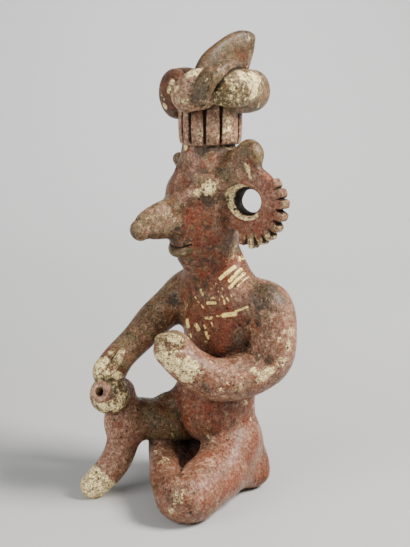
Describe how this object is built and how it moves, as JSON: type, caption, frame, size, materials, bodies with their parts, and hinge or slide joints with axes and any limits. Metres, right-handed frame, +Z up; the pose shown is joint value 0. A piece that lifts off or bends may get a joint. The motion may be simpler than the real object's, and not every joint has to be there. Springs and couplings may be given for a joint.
{
  "type": "seated figure",
  "caption": "Hollow fired-clay seated figure with one knee raised and one leg folded, a beak nose, notched ring ears and a crested turban on a fluted headdress",
  "frame": {"origin": "Centre of the bounding box on the plane that the figure rests on", "axes": "+Z up through the headdress, -Y is the figure's front, +X its left side"},
  "size_m": [0.124, 0.118, 0.3037],
  "materials": {
    "fired_clay": "satin"
  },
  "bodies": {
    "root": {"figure": "fired_clay"}
  },
  "joints": []
}
